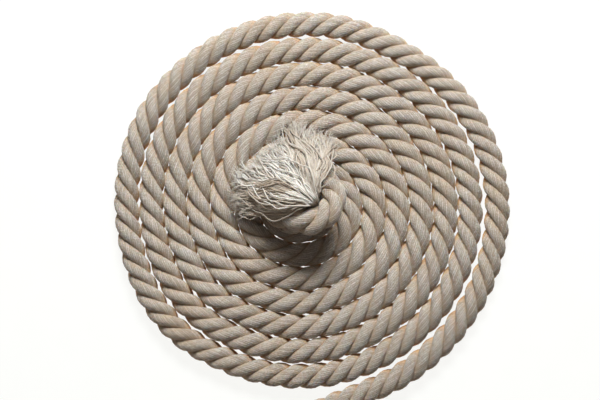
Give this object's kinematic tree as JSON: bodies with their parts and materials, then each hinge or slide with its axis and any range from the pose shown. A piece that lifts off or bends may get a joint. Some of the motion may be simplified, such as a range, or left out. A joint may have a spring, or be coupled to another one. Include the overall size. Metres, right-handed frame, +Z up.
{
  "type": "three-strand rope",
  "caption": "Natural cotton rope laid from three strands, coiled flat in one layer, each end tied in an overhand knot and frayed into a tassel.",
  "frame": {"origin": "middle of the whole rope's outline as it lies, at the level of the surface that it lies on", "axes": "+Z up out of the coil, +Y across the coil away from the outer end's knot, +X to the right; the outer end lies at -Y and its tassel points to -X"},
  "size_m": [0.2042, 0.2455, 0.0433],
  "materials": {
    "laid_cotton": "undyed cotton yarns laid into rope strands, matt",
    "frayed_cotton": "loose undyed cotton yarns, matt and fluffy"
  },
  "bodies": {
    "root": {"strand_a_coil": "laid_cotton", "strand_b_coil": "laid_cotton", "strand_c_coil": "laid_cotton", "strand_a_inner_end": "laid_cotton", "strand_b_inner_end": "laid_cotton", "strand_c_inner_end": "laid_cotton", "strand_a_outer_end": "laid_cotton", "strand_b_outer_end": "laid_cotton", "strand_c_outer_end": "laid_cotton", "inner_yarns_a": "frayed_cotton", "inner_yarns_b": "frayed_cotton", "inner_yarns_c": "frayed_cotton", "outer_yarns_a": "frayed_cotton", "outer_yarns_b": "frayed_cotton", "outer_yarns_c": "frayed_cotton"}
  },
  "joints": []
}
